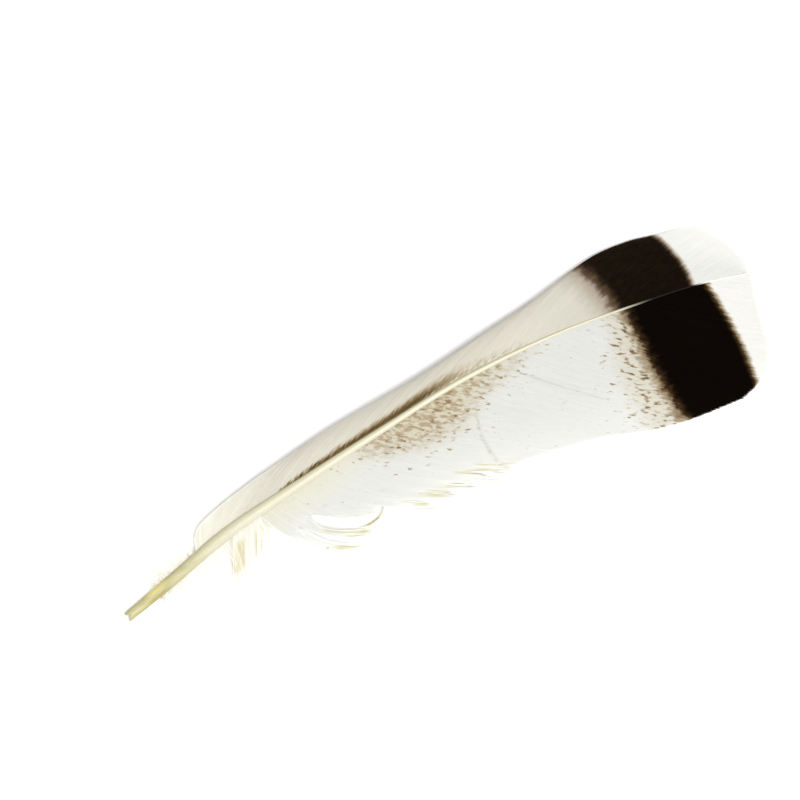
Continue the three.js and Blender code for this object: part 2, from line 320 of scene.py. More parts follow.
def between(tree, value, low, full, fades, gone):
    """Rises from 0 to 1 while value goes from low to full, and falls back from fades to gone."""
    return times(tree, ramp(tree, value, low, full), ramp(tree, value, gone, fades))


def tint(tree, amount, under, over):
    """One colour mixed over another by amount."""
    return node(tree, "ShaderNodeMix", {0: amount, 6: under, 7: over}, out=2, data_type="RGBA")


def noise(tree, place, scale, detail=2.0, rough=0.5, flat=False):
    """Grey noise around a half, in two dimensions where flat."""
    return node(tree, "ShaderNodeTexNoise",
                {"Vector": place, "Scale": scale, "Detail": detail, "Roughness": rough},
                noise_dimensions="2D" if flat else "3D")


def vector(tree, x, y, z=0.0):
    """Three numbers or outputs as one vector."""
    return node(tree, "ShaderNodeCombineXYZ", {0: x, 1: y, 2: z})


def colour(red, green, blue):
    """A colour given as it looks, from 0 to 255, as the light it reflects."""
    seen = np.array([red, green, blue]) / 255.0
    light = np.where(seen <= 0.04045, seen / 12.92, ((seen + 0.055) / 1.055) ** 2.4)
    return (*light.tolist(), 1.0)


def parts_of(tree, joined):
    """The three numbers of a vector, as outputs."""
    split = tree.nodes.new("ShaderNodeSeparateXYZ")
    tree.links.new(joined, split.inputs[0])
    return tuple(split.outputs)


def feather_place(tree):
    """x, y and z in the feather's millimetres."""
    place = node(tree, "ShaderNodeTexCoord", out="Object")
    return parts_of(tree, node(tree, "ShaderNodeMapping",
                               {"Vector": place, "Scale": (1000.0, 1000.0, 1000.0),
                                "Location": tuple(MIDDLE.tolist())}))


def kept_share(tree):
    """The mesh's attribute share, from 0 to 1 out along a barb, or from -1 to 1 across the shaft."""
    return node(tree, "ShaderNodeAttribute", out="Fac",
                attribute_type="GEOMETRY", attribute_name="share")


HORN_QUILL = colour(168, 163, 124)
HORN_OLIVE = colour(142, 134, 80)
HORN_GOLD = colour(191, 181, 110)
HORN_CREAM = colour(185, 183, 165)
HORN_STREAK_AND_SHADE = colour(174, 169, 140)
HORN_IN_BAND = colour(14, 10, 6)
HORN_TIP = colour(208, 207, 201)

# Horn: olive and yellowish at the quill, with a golden patch of old pith inside, then cream, dark
# where it crosses the band, and white at the tip. Its fibres run along it. Past the quill its side
# towards the narrow vane is darkened with painted shade.
horn, tree = new_material("horn")
x, y, z = feather_place(tree)
across = kept_share(tree)
rim = ramp(tree, calc(tree, "ABSOLUTE", across), 0.45, 0.95)
fibres = noise(tree, vector(tree, times(tree, x, 0.05), y, z), 1.6)
clouds = noise(tree, vector(tree, times(tree, x, 0.3), y, z), 0.8)
quill_tone = tint(tree, ramp(tree, fibres, 0.4, 0.68, 0.0, 0.5), HORN_QUILL, HORN_OLIVE)
quill_tone = tint(tree, times(tree, rim, 0.7), quill_tone, HORN_OLIVE)
pith = between(tree, x, 9.0, 14.0, 17.0, HOLLOW_DEPTH)
quill_tone = tint(tree, times(tree, pith, ramp(tree, across, -0.1, 0.3, 0.0, 0.8)),
                  quill_tone, HORN_GOLD)
quill_tone = tint(tree, times(tree, pith, ramp(tree, across, -0.1, -0.6)),
                  quill_tone, HORN_OLIVE)
cream_tone = tint(tree, ramp(tree, fibres, 0.4, 0.7, 0.0, 0.3), HORN_CREAM, HORN_STREAK_AND_SHADE)
# Painted shade: the shaft is darker on its side towards the narrow vane, away from the lamp. The same
# tone also colours its darker fibres.
cream_tone = tint(tree, ramp(tree, across, 0.0, 0.8, 0.0, 0.9), cream_tone, HORN_STREAK_AND_SHADE)
past_quill = ramp(tree, plus(tree, x, times(tree, clouds, 30.0)), HOLLOW_DEPTH, 80.0)
tone = tint(tree, past_quill, quill_tone, cream_tone)
in_band = between(tree, x, 227.0, 246.0, 262.0, 268.0)
tone = tint(tree, ramp(tree, x, 250.0, 262.0), tone, HORN_TIP)
tone = tint(tree, in_band, tone, HORN_IN_BAND)
scratches = noise(tree, vector(tree, times(tree, x, 0.15), y, z), 6.0)
bump = node(tree, "ShaderNodeBump", {"Strength": 0.15, "Distance": 0.0001, "Height": scratches})
shader = node(tree, "ShaderNodeBsdfPrincipled",
              {"Base Color": tone, "Roughness": ramp(tree, fibres, 0.3, 0.7, 0.34, 0.46),
               "Subsurface Weight": 0.2, "Subsurface Radius": (0.6, 0.5, 0.25),
               "Subsurface Scale": 0.002,
               "Specular IOR Level": 0.12,
               "Coat Weight": ramp(tree, in_band, 0.0, 0.6, 0.45, 0.0), "Coat Roughness": 0.3,
               "Normal": bump})
finish_material(tree, shader)

rings, sideways = shaft_rings()
piece("shaft", closed_mesh("shaft", rings, share=sideways), horn, smooth_faces=True)

# ---- The vanes ----
# Some hundreds of barbs grow from each side of the shaft, side by side, hooked into one web. Each
# is a thin tapered blade of the same horn, and lies a little over its neighbours. The narrow vane
# is on the +Y side, the wide one on the -Y side.

# x of a barb's root on the shaft, then x, y and z of its tip, and how far it bows out from its
# chord, per length of chord.
NARROW_VANE = np.array([
    [36, 39.6, 15.2, 5.4, 0.0],
    [38, 43.0, 18.2, 5.0, 0.02],
    [42, 53.5, 21.0, 5.0, 0.05],
    [47, 67.0, 23.2, 5.6, 0.08],
    [54, 83.0, 24.9, 6.4, 0.1],
    [75, 107.5, 26.9, 7.6, 0.11],
    [114, 148.5, 27.9, 8.2, 0.11],
    [140, 180.0, 30.5, 7.2, 0.11],
    [160, 205.0, 32.6, 5.6, 0.1],
    [178, 232.0, 36.2, 3.4, 0.1],
    [189, 248.0, 34.7, 2.2, 0.1],
    [197, 259.5, 31.6, 1.4, 0.09],
    [206, 269.5, 29.0, 0.8, 0.08],
    [219, 277.6, 24.2, 0.4, 0.07],
    [233, 281.2, 17.6, 0.2, 0.06],
    [250, 283.6, 10.8, 0.2, 0.06],
    [267, 284.6, 5.0, 0.3, 0.05],
    [281, 284.2, 1.0, 0.4, 0.0]], float)
WIDE_VANE = np.array([
    [66, 98.5, -21.0, 1.0, 0.28],
    [76, 108.0, -17.0, 1.8, 0.22],
    [89, 126.0, -19.0, 2.2, 0.17],
    [104, 146.0, -20.8, 2.2, 0.14],
    [119, 167.0, -22.4, 2.2, 0.1],
    [129, 180.0, -24.2, 2.0, 0.08],
    [145, 202.0, -29.6, 1.6, 0.06],
    [161, 219.0, -36.1, 1.1, 0.05],
    [176, 235.0, -40.2, 0.6, 0.04],
    [190, 250.0, -42.2, 0.2, 0.05],
    [198, 257.6, -43.0, 0.1, 0.06],
    [205, 262.6, -42.1, 0.1, 0.07],
    [215, 268.8, -39.8, 0.1, 0.08],
    [226, 274.0, -34.8, 0.1, 0.09],
    [235, 277.5, -28.5, 0.1, 0.09],
    [242, 279.0, -23.0, 0.2, 0.08],
    [251, 280.4, -16.5, 0.2, 0.07],
    [261, 281.8, -10.3, 0.2, 0.06],
    [273, 283.6, -4.1, 0.3, 0.05],
    [281, 284.2, -0.6, 0.4, 0.0]], float)

# The wide vane is torn between two roots, into locks, and whole from there to the last root. Of each
# lock: the first and the last root, the first and the last tip, the shares of the way out where its
# first and its last barb start to leave, the power by which they do, and how far they sag.
TORN_FROM, TORN_TO, LAST_ROOT = 66.0, 119.0, 281.0
TORN_LOCKS = (
    (66, 71, (95.8, -21.4, 0.9), (98.7, -20.4, 1.1), 0.4, 0.4, 0.8, 0.0, 0.3),
    (71, 76, (102.8, -18.8, 1.6), (105.2, -17.4, 1.8), 0.33, 0.33, 0.8, 0.0, 1.9),
    (76, 82, (106.2, -12.2, 3.0), (110.6, -11.6, 3.2), 0.3, 0.55, 0.6, -1.5, 0.0),
    (82, 89, (111.2, -10.8, 3.4), (113.4, -7.2, 4.4), 0.6, 0.4, 1.5, 0.0, 0.0),
    (89, 94, (128.4, -20.4, 1.7), (130.6, -19.4, 1.8), 0.55, 0.55, 2.0, 0.0, 0.0),
    (94, 101, (140.4, -23.0, 1.6), (143.4, -22.4, 1.6), 0.6, 0.6, 2.0, 0.0, 0.0),
    (101, 107, (147.0, -23.6, 1.6), (149.4, -22.8, 1.7), 0.7, 0.7, 1.6, 0.0, 0.0),
    (107, 113, (158.2, -26.2, 1.3), (160.8, -25.4, 1.4), 0.7, 0.7, 1.6, 0.0, 0.0),
    (113, 119, (164.2, -24.2, 1.8), (166.8, -22.6, 2.2), 0.75, 0.75, 1.5, 0.0, 0.0))

# How much shorter a lock's outermost barbs are than its middle one, as a share, and how far the
# tips stray along x, y and z.
TORN_POINT = 0.12
TORN_STRAY = (0.5, 0.35, 0.15)

# Slits between barbs that have come unhooked: the root, how wide it opens, and from which to which
# share of the way out. It opens over SLIT_EASE of the way, pushes barbs aside up to about
# SLIT_SPREAD from it along the shaft, and lowers those up to SLIT_LIP from it.
NARROW_SLITS = ((200.0, 0.2, 0.72, 1.0), (154.0, 0.25, 0.6, 1.0), (93.0, 0.3, 0.6, 1.0),
                (61.0, 0.3, 0.5, 1.0))
WIDE_SLITS = ((177.0, 0.28, 0.05, 0.75), (147.0, 0.2, 0.5, 1.0), (212.0, 0.12, 0.8, 1.0),
              (131.0, 0.4, 0.75, 1.0), (240.0, 0.2, 0.6, 1.0))
SLIT_EASE, SLIT_SPREAD, SLIT_LIP = 0.2, 2.2, 0.8

# From barb to barb along the shaft, a barb's width as a multiple of the room it has, the least and
# the greatest half width, the thickness at the shaft and at the tip, and the lowest height. It
# loses TIP_LOSS of its width over the last TIP_OVER of its way, which begins at TIP_FROM.
BARB_STEP = 0.34
BARB_WIDTH = 1.7
BARB_LEAST, BARB_GREATEST = 0.11, 0.42
BARB_THICK, BARB_TIP_THICK = 0.16, 0.08
BARB_LOWEST = 0.01
TIP_LOSS, TIP_FROM, TIP_OVER = 0.72, 0.955, 0.045

# What chance does to a barb: its root is off by a share of a step, its tip short by a share of the
# way, and it lies higher or lower and rolled a little.
ROOT_OFF, TIP_SHORT, LIE_OFF, ROLL_OFF = 0.12, 0.012, 0.010, 0.03

# How far a barb arches up from its chord, per length of chord, and how far inside the shaft's
# middle it starts.
ARCH = 0.06
ROOT_INSET = 0.5

# The crease in the wide vane: x and y of its middle, how it bends with y, its depth and half width.
CREASE_X, CREASE_Y, CREASE_BEND = 159.0, -9.4, 0.015
CREASE_DEPTH, CREASE_HALF_WIDTH = 0.3, 2.4

dice = np.random.default_rng(7)


def barb_lines(rows, side, roots, t):
    """Centre lines of barbs, (barbs, steps, 3): a parabola from the shaft's middle to the vane's
    edge, bowed out away from the feather's tip and up."""
    start = shaft_point(roots) - shaft_axes(roots)[1] * side * ROOT_INSET
    tip = np.stack([smooth(rows, column, roots) for column in (1, 2, 3)], axis=-1)
    chord = tip - start
    length = np.linalg.norm(chord, axis=-1, keepdims=True)
    outward = unit(np.stack([-chord[:, 1], chord[:, 0], np.zeros(len(chord))], -1)) * side
    middle = (start + tip) / 2 + outward * smooth(rows, 4, roots)[:, None] * length
    middle[:, 2] += ARCH * length[:, 0]
    t = t[..., None]
    return ((1 - t) ** 2 * start[:, None] + 2 * t * (1 - t) * middle[:, None]
            + t ** 2 * tip[:, None])


def ways_out(side, roots, rows, steps, reach):
    """The shares of the way at which a barb has rings, (barbs, steps): evenly from the shaft's side
    to the tip, closer at the tip."""
    first_bit = 0.06
    probe = barb_lines(rows, side, roots, np.tile([0.0, first_bit], (len(roots), 1)))
    leaving = np.sum((probe[:, 1] - probe[:, 0]) * shaft_axes(roots)[1], -1) * side / first_bit
    first = (ROOT_INSET + 0.35 * smooth(SHAFT, 3, roots)) / np.maximum(leaving, 1.0)
    even = np.concatenate([np.linspace(0.0, 0.95, steps - 3), [0.97, 0.988, 1.0]])
    first = np.clip(first, 0.0, 0.5)[:, None]
    return first + (reach[:, None] - first) * even[None, :]


def blades(lines, over, half_width, half_thick, roll):
    """Closed tubes round centre lines: a flat diamond in section, its ridges up and down. over is
    the direction out of the vane; half_width, half_thick and roll are (barbs, steps)."""
    along = unit(np.gradient(lines, axis=1))
    over = unit(over - np.sum(over * along, -1, keepdims=True) * along)
    beside = np.cross(over, along)
    turn = roll[..., None]
    beside, over = (beside * np.cos(turn) + over * np.sin(turn),
                    over * np.cos(turn) - beside * np.sin(turn))
    wide, thick = beside * half_width[..., None], over * half_thick[..., None]
    rings = np.stack([lines + wide, lines + thick, lines - wide, lines - thick], axis=2)
    rings[..., 2] = np.maximum(rings[..., 2], BARB_LOWEST)
    return rings


def way_along(lines):
    """How far along its line each point is."""
    return np.cumsum(np.linalg.norm(np.diff(lines, axis=1, prepend=lines[:, :1]), axis=-1), 1)


def facts(root, out, chance):
    """Root, way out and chance for each vertex of blades, of which a ring has four."""
    joined = np.stack(np.broadcast_arrays(root, out, chance), axis=-1)
    return np.repeat(joined[:, :, None], 4, axis=2)


def vane(name, rows, side, low, high, steps, slits, material, shape=None):
    """The barbs of a stretch of vane as one piece. A slit pushes the barbs beside it apart, less with
    the distance from it; three sines over the roots make the web wave up and down. shape moves the
    centre lines of barbs that have come apart, and says how far out each one reaches."""
    roots = np.arange(low, high, BARB_STEP)
    roots = roots + dice.uniform(-ROOT_OFF, ROOT_OFF, len(roots)) * BARB_STEP
    chance = dice.uniform(0, 1, len(roots))
    reach = 1 - TIP_SHORT * dice.uniform(0, 1, len(roots)) ** 2
    if shape is not None:
        reach = reach * shape(roots, None)
    t = ways_out(side, roots, rows, steps, reach)
    ideal = barb_lines(rows, side, roots, t)
    along = unit(np.gradient(ideal, axis=1))
    next_barb = barb_lines(rows, side, roots + 0.5, t) - barb_lines(rows, side, roots - 0.5, t)
    over = unit(np.cross(along, next_barb)) * -side
    over = np.where(over[..., 2:] < 0, -over, over)
    spacing = np.linalg.norm(next_barb - np.sum(next_barb * along, -1, keepdims=True) * along,
                             axis=-1) * BARB_STEP
    lines = ideal.copy()
    if shape is not None:
        lines = lines + shape(roots, t)
    for root, opening, begins, ends in slits:
        apart = roots - root
        push = np.sign(apart) * np.exp(-np.abs(apart) / SLIT_SPREAD) * opening / 2
        open_here = np.clip((t - begins) / SLIT_EASE, 0, 1)
        if ends < 1.0:
            open_here = open_here * np.clip((ends - t) / SLIT_EASE, 0, 1)
        lines = lines + unit(next_barb) * (push[:, None] * open_here)[..., None]
        dip = np.exp(-np.abs(apart) / SLIT_LIP)[:, None] * open_here * opening * 0.5
        lines[..., 2] -= dip
    length = way_along(ideal)
    waves = (0.07 * np.sin(roots * 0.53 + 1.7 * side) + 0.03 * np.sin(roots * 1.31 + 0.4)
             + 0.015 * np.sin(roots * 3.7))
    lines[..., 2] += waves[:, None] * np.sin(np.pi * np.clip(t, 0, 1)) ** 0.7
    lines[..., 2] += dice.normal(0, LIE_OFF, len(roots))[:, None]
    if side < 0:
        off = lines[..., 0] - (CREASE_X + CREASE_BEND * (lines[..., 1] - CREASE_Y) ** 2)
        shown = np.clip((length - 3) / 6, 0, 1)
        lines[..., 2] -= CREASE_DEPTH * np.exp(-(off / CREASE_HALF_WIDTH) ** 2) * shown
    taper = 1 - TIP_LOSS * np.clip((t / reach[:, None] - TIP_FROM) / TIP_OVER, 0, 1) ** 1.5
    half_width = np.clip(spacing * BARB_WIDTH / 2, BARB_LEAST, BARB_GREATEST) * taper
    half_thick = (BARB_THICK + (BARB_TIP_THICK - BARB_THICK) * t) / 2 * taper
    roll = np.repeat(dice.normal(0.0, ROLL_OFF, len(roots))[:, None], t.shape[1], axis=1)
    rings = blades(lines, over, half_width, half_thick, roll)
    extra = facts(roots[:, None], length, chance[:, None])
    share = np.repeat((t / reach[:, None])[:, :, None], 4, axis=2)
    piece(name, closed_mesh(name, rings, extra, share), material)


def torn(roots, t):
    """How the torn locks' barbs leave the vane: each is drawn to a point between its lock's first
    and last tip, by a power of the way past where the lock begins to part. With no t, how far out
    each barb reaches."""
    shift = np.zeros((len(roots), 1 if t is None else t.shape[1], 3))
    reach = np.ones(len(roots))
    own_dice = np.random.default_rng(11)
    for low, high, first, last, first_from, last_from, power, first_sag, last_sag in TORN_LOCKS:
        here = (roots >= low - 0.02) & (roots < high - 0.02)
        share = np.clip((roots[here] - low) / (high - low), 0, 1)
        stray = own_dice.uniform(-1, 1, (here.sum(), 3)) * TORN_STRAY
        shorter = own_dice.uniform(0, 0.02, here.sum())
        reach[here] = 1 - TORN_POINT * np.abs(2 * share - 1) ** 1.4 - shorter
        if t is None:
            continue
        target = np.array(first) * (1 - share[:, None]) + np.array(last) * share[:, None] + stray
        edge = np.stack([smooth(WIDE_VANE, column, roots[here]) for column in (1, 2, 3)], -1)
        begins = (first_from + (last_from - first_from) * share)[:, None]
        parted = np.maximum(0, (t[here] - begins) / (1 - begins))
        shift[here] = (target - edge)[:, None] * (parted ** power)[..., None]
        sagging = (first_sag + (last_sag - first_sag) * share)[:, None]
        sagging = sagging * np.sin(np.pi * np.sqrt(parted)) ** 2
        shift[here, :, :2] -= (0.7 * sagging)[..., None]
    return reach if t is None else shift


def group(name, inputs, outputs):
    """An empty shader node group with these sockets, which are all numbers."""
    made = bpy.data.node_groups.new(name, "ShaderNodeTree")
    for way, labels in (("INPUT", inputs), ("OUTPUT", outputs)):
        for label in labels:
            made.interface.new_socket(label, in_out=way, socket_type="NodeSocketFloat")
    given = made.nodes.new("NodeGroupInput")
    result = made.nodes.new("NodeGroupOutput")
    return made, {s.name: s for s in given.outputs if s.name}, result


# The dark band across both vanes. Its edges are parabolas over y, and each barb is dark from a
# slightly different place on, so both edges are toothed. Dark is 1 in it; Before is how far it is
# to its start, along x.
dark_band, given, result = group(
    "dark_band",
    ("X", "Y", "Root", "Chance", "Start", "Start Bend", "End", "End Bend", "Middle",
     "Start Soft", "End Soft", "Teeth", "Mottle"),
    ("Dark", "Before"))
tree = dark_band
from_middle = calc(tree, "SUBTRACT", given["Y"], given["Middle"])
squared = times(tree, from_middle, from_middle)
start = plus(tree, given["Start"], times(tree, squared, given["Start Bend"]))
end = plus(tree, given["End"], times(tree, squared, given["End Bend"]))
clumps = noise(tree, vector(tree, given["Root"], 3.0), 0.4, 3.0, 0.6, flat=True)
jag = plus(tree, swing(tree, clumps, 2.0), swing(tree, given["Chance"], 0.8))
jag = times(tree, jag, given["Teeth"])
before = calc(tree, "SUBTRACT", calc(tree, "SUBTRACT", start, given["X"]), jag)
mottle = noise(tree, vector(tree, times(tree, given["X"], 0.7), given["Y"]), 0.4, 3.0, flat=True)
mottle = swing(tree, mottle, given["Mottle"])
past_start = calc(tree, "DIVIDE", calc(tree, "SUBTRACT", mottle, before), given["Start Soft"])
fringe = plus(tree, times(tree, jag, 0.65), times(tree, mottle, 0.2))
to_end = calc(tree, "SUBTRACT", plus(tree, end, fringe), given["X"])
to_end = calc(tree, "DIVIDE", to_end, given["End Soft"])
dark = times(tree, ramp(tree, past_start, -1.0, 1.0), ramp(tree, to_end, -1.0, 1.0))
tree.links.new(dark, result.inputs["Dark"])
tree.links.new(before, result.inputs["Before"])

# The greatest root that a profile can be asked for.
ROOT_SPAN = 300.0


def profile(tree, root, height, points):
    """A level over the barb's root: a curve through the (root, level) points, with levels from 0 to
    height, and 0 at roots 0 and ROOT_SPAN."""
    made = tree.nodes.new("ShaderNodeFloatCurve")
    curve = made.mapping.curves[0]
    curve.points[0].location = (0.0, 0.0)
    curve.points[1].location = (1.0, 0.0)
    for at, level in points:
        curve.points.new(at / ROOT_SPAN, level / height)
    made.mapping.update()
    tree.links.new(calc(tree, "DIVIDE", root, ROOT_SPAN), made.inputs["Value"])
    return times(tree, made.outputs[0], height)


def share_of(tree, value, whole):
    """A value divided by a whole that may be 0, so a hundredth is added to it."""
    return calc(tree, "DIVIDE", value, plus(tree, whole, 0.01))


def barb_facts(tree):
    """A barb's root, the way out along it, and its own chance number, as three outputs."""
    return parts_of(tree, node(tree, "ShaderNodeAttribute", out="Vector",
                               attribute_type="GEOMETRY", attribute_name="barb"))


def place_group(tree, made, values):
    """A group in a material, with its inputs set or linked."""
    used = tree.nodes.new("ShaderNodeGroup")
    used.node_tree = made
    for label, value in values.items():
        feed(tree, used.inputs[label], value)
    return used.outputs


def darkened(tree, dark, plain, tan, brown, black):
    """Plain to tan to brown to black, as dark goes from 0 to 1."""
    tone = tint(tree, ramp(tree, dark, 0.0, 0.35), plain, tan)
    tone = tint(tree, ramp(tree, dark, 0.25, 0.65), tone, brown)
    return tint(tree, ramp(tree, dark, 0.55, 0.97), tone, black)


def finish_vane(tree, tone, grain, smoothest=0.55, roughest=0.7, through=0.35):
    """The barbs' own shader: matt, rougher with the grain, with the faintest gloss of horn, and some
    light let through."""
    roughness = ramp(tree, grain, 0.3, 0.7, smoothest, roughest)
    shader = node(tree, "ShaderNodeBsdfPrincipled",
                  {"Base Color": tone, "Roughness": roughness, "Specular IOR Level": 0.01,
                   "Subsurface Weight": through, "Subsurface Radius": (1.0, 1.0, 1.0),
                   "Subsurface Scale": 0.002})
    finish_material(tree, shader)


# Narrow vane: beige white, with a streaky brown stripe along the shaft, a smoky run into the
# brown-black band, and a pale tip.
NARROW_PALE = colour(206, 203, 190)
NARROW_GREY = colour(199, 195, 182)
NARROW_FAR = colour(192, 190, 179)
FOOT_CREAM_LIGHT_AND_SHADE = colour(224, 222, 207)
STRIPE_BROWN = colour(82, 60, 30)
STRIPE_TAN = colour(160, 141, 104)
SMOKE_TAN = colour(164, 153, 138)
SMOKE_BROWN = colour(79, 62, 46)
NARROW_BLACK = colour(15, 10, 5)
TIP_WHITE = colour(215, 216, 211)
TIP_GREY = colour(210, 212, 208)
TIP_EDGE = colour(228, 228, 224)

narrow_barbs, tree = new_material("narrow_barbs")
x, y = feather_place(tree)[:2]
root, out, chance = barb_facts(tree)
share = kept_share(tree)
streaks = noise(tree, vector(tree, root, times(tree, out, 0.06)), 1.1, 3.0, 0.6, flat=True)
plain = tint(tree, ramp(tree, streaks, 0.35, 0.68), NARROW_PALE, NARROW_GREY)
plain = tint(tree, ramp(tree, x, 185.0, 215.0, 0.0, 0.6), plain, NARROW_FAR)
tip_white = tint(tree, ramp(tree, streaks, 0.4, 0.7, 0.0, 0.7), TIP_WHITE, TIP_GREY)
tip_white = tint(tree, ramp(tree, share, 0.55, 1.0, 0.0, 0.9), tip_white, TIP_EDGE)
plain = tint(tree, ramp(tree, x, 250.0, 256.0), plain, tip_white)
# The foot of the vane is paler cream: partly its own colour, partly painted light over the shade
# along its edge.
plain = tint(tree, ramp(tree, root, 66.0, 40.0, 0.0, 0.85), plain, FOOT_CREAM_LIGHT_AND_SHADE)

# The stripe reaches this far out; its edge is ragged, and gaps along the barbs break it up.
stripe_reach = profile(tree, root, 14.4, (
    (66, 0), (76, 4.4), (88, 7.0), (106, 9.2), (120, 10.8), (130, 12.4), (142, 14.2),
    (152, 13.8), (160, 12.0), (168, 9.6), (178, 7.0), (188, 4.0), (198, 0)))
stripe_streaks = noise(tree, vector(tree, root, times(tree, out, 0.22)), 0.9, 3.0, 0.6, flat=True)
edge = share_of(tree, plus(tree, out, swing(tree, stripe_streaks, 9.0)), stripe_reach)
gap_place = vector(tree, root, times(tree, plus(tree, out, times(tree, chance, 0.5)), 0.5))
gaps = plus(tree, noise(tree, gap_place, 0.55, flat=True),
            ramp(tree, root, 180.0, 118.0, 0.07, 0.45))
stripe = times(tree, ramp(tree, edge, 1.08, 0.14), ramp(tree, stripe_reach, 0.3, 2.5),
               ramp(tree, out, 0.6, 3.0, 0.72, 1.0), ramp(tree, gaps, 0.4, 0.68),
               ramp(tree, root, 166.0, 134.0, 0.42, 1.0))
plain = tint(tree, ramp(tree, stripe, 0.0, 0.6, 0.0, 0.85), plain, STRIPE_TAN)
plain = tint(tree, ramp(tree, stripe, 0.36, 0.98), plain, STRIPE_BROWN)

band = place_group(tree, dark_band, {
    "X": x, "Y": y, "Root": root, "Chance": chance, "Start": 229.0, "Start Bend": -0.0105,
    "End": 262.3, "End Bend": -0.012, "Middle": 13.0, "Start Soft": 7.4, "End Soft": 2.3,
    "Teeth": 0.9, "Mottle": 4.4})
smoke_streaks = noise(tree, vector(tree, root, times(tree, out, 0.12)), 1.3, 4.0, 0.7, flat=True)
smoke = ramp(tree, plus(tree, band["Before"], swing(tree, smoke_streaks, 16.0)), 12.5, 0.0)
smoke = times(tree, smoke, ramp(tree, x, 255.0, 245.0))
plain = tint(tree, times(tree, smoke, 0.8), plain, SMOKE_TAN)
black = tint(tree, ramp(tree, smoke_streaks, 0.4, 0.7, 0.0, 0.07), NARROW_BLACK, SMOKE_BROWN)
tone = darkened(tree, band["Dark"], plain, SMOKE_TAN, SMOKE_BROWN, black)
finish_vane(tree, tone, streaks)

# Wide vane: white, freckled brown beside the shaft and before the black band, with a white tip.
# Painted light makes it paler out towards its edge and on its first torn locks.
WIDE_WHITE = colour(205, 206, 202)
WIDE_GREY = colour(200, 202, 198)
FRECKLE_TINT = colour(190, 183, 163)
FRECKLE_TAN = colour(151, 131, 95)
FRECKLE_BROWN = colour(100, 77, 44)
FRINGE_TAN = colour(150, 134, 108)
FRINGE_BROWN = colour(57, 40, 24)
WIDE_BLACK = colour(6, 3, 1)
WIDE_LIT_EDGE = colour(216, 217, 212)
FOOT_YELLOW = colour(206, 204, 184)
WIDE_TIP_AND_PAINTED_LIGHT = colour(222, 223, 218)
SHADE_AND_SPECK_GREY = colour(150, 146, 128)
FRAYED_OLIVE = colour(190, 184, 140)

wide_barbs, tree = new_material("wide_barbs")
x, y = feather_place(tree)[:2]
root, out, chance = barb_facts(tree)
share = kept_share(tree)
streaks = noise(tree, vector(tree, root, times(tree, out, 0.05)), 1.1, 3.0, 0.6, flat=True)
plain = tint(tree, ramp(tree, streaks, 0.38, 0.7), WIDE_WHITE, WIDE_GREY)
# Painted light: the vane is paler out towards its edge, where it slopes down towards the lamp.
plain = tint(tree, ramp(tree, share, 0.35, 0.95, 0.0, 0.75), plain, WIDE_LIT_EDGE)
near_foot = times(tree, ramp(tree, out, 16.0, 0.0, 0.0, 0.8), ramp(tree, root, 125.0, 90.0))
plain = tint(tree, near_foot, plain, FOOT_YELLOW)
# Painted light: the first torn locks, which dip steeply and would fall grey, are lightened out along
# their barbs.
painted_shading = times(tree, ramp(tree, root, 84.0, 72.0, 0.0, 0.6), ramp(tree, share, 0.2, 0.6))
plain = tint(tree, painted_shading, plain, WIDE_TIP_AND_PAINTED_LIGHT)

# The crease, and the slit near root 177, are both a little grey: painted shade in the dip of each.
# The same grey also colours faint specks.
bent = calc(tree, "SUBTRACT", y, CREASE_Y)
bent = plus(tree, CREASE_X, times(tree, bent, bent, CREASE_BEND))
crease_wiggle = noise(tree, vector(tree, root, times(tree, out, 0.6)), 0.5, 2.0, 0.6, flat=True)
off = plus(tree, calc(tree, "SUBTRACT", x, bent), swing(tree, crease_wiggle, 2.0))
crease_shade = times(tree, ramp(tree, calc(tree, "ABSOLUTE", off), 1.4, 0.0),
                between(tree, y, -19.0, -15.0, 7.0, 11.0),
                ramp(tree, crease_wiggle, 0.35, 0.65, 0.08, 0.42))
plain = tint(tree, crease_shade, plain, SHADE_AND_SPECK_GREY)
slit = ramp(tree, calc(tree, "ABSOLUTE", calc(tree, "SUBTRACT", root, 176.8)), 0.8, 0.0)
slit = times(tree, slit, between(tree, out, 3.0, 10.0, 22.0, 34.0), 0.28)
plain = tint(tree, slit, plain, SHADE_AND_SPECK_GREY)

# The torn edge is paler, with olive streaks at its tips, and stained on its first two locks.
torn_tips = times(tree, ramp(tree, root, 123.0, 116.0), ramp(tree, share, 0.68, 0.95))
plain = tint(tree, torn_tips, plain, WIDE_TIP_AND_PAINTED_LIGHT)
olive_streaks = noise(tree, vector(tree, root, times(tree, out, 0.12)), 0.5, flat=True)
olive = times(tree, ramp(tree, root, 121.0, 118.0), ramp(tree, share, 0.74, 0.86),
              ramp(tree, olive_streaks, 0.47, 0.62, 0.0, 0.75))
plain = tint(tree, olive, plain, FRAYED_OLIVE)
stain_out = plus(tree, share, ramp(tree, root, 70.6, 71.4, -0.2, 0.0))
stained = plus(tree, between(tree, root, 73.4, 74.8, 75.6, 76.2),
               between(tree, root, 66.6, 67.6, 68.8, 69.8))
stained = times(tree, between(tree, stain_out, 0.5, 0.6, 0.74, 0.9), stained, 0.62)
plain = tint(tree, stained, plain, FRAYED_OLIVE)

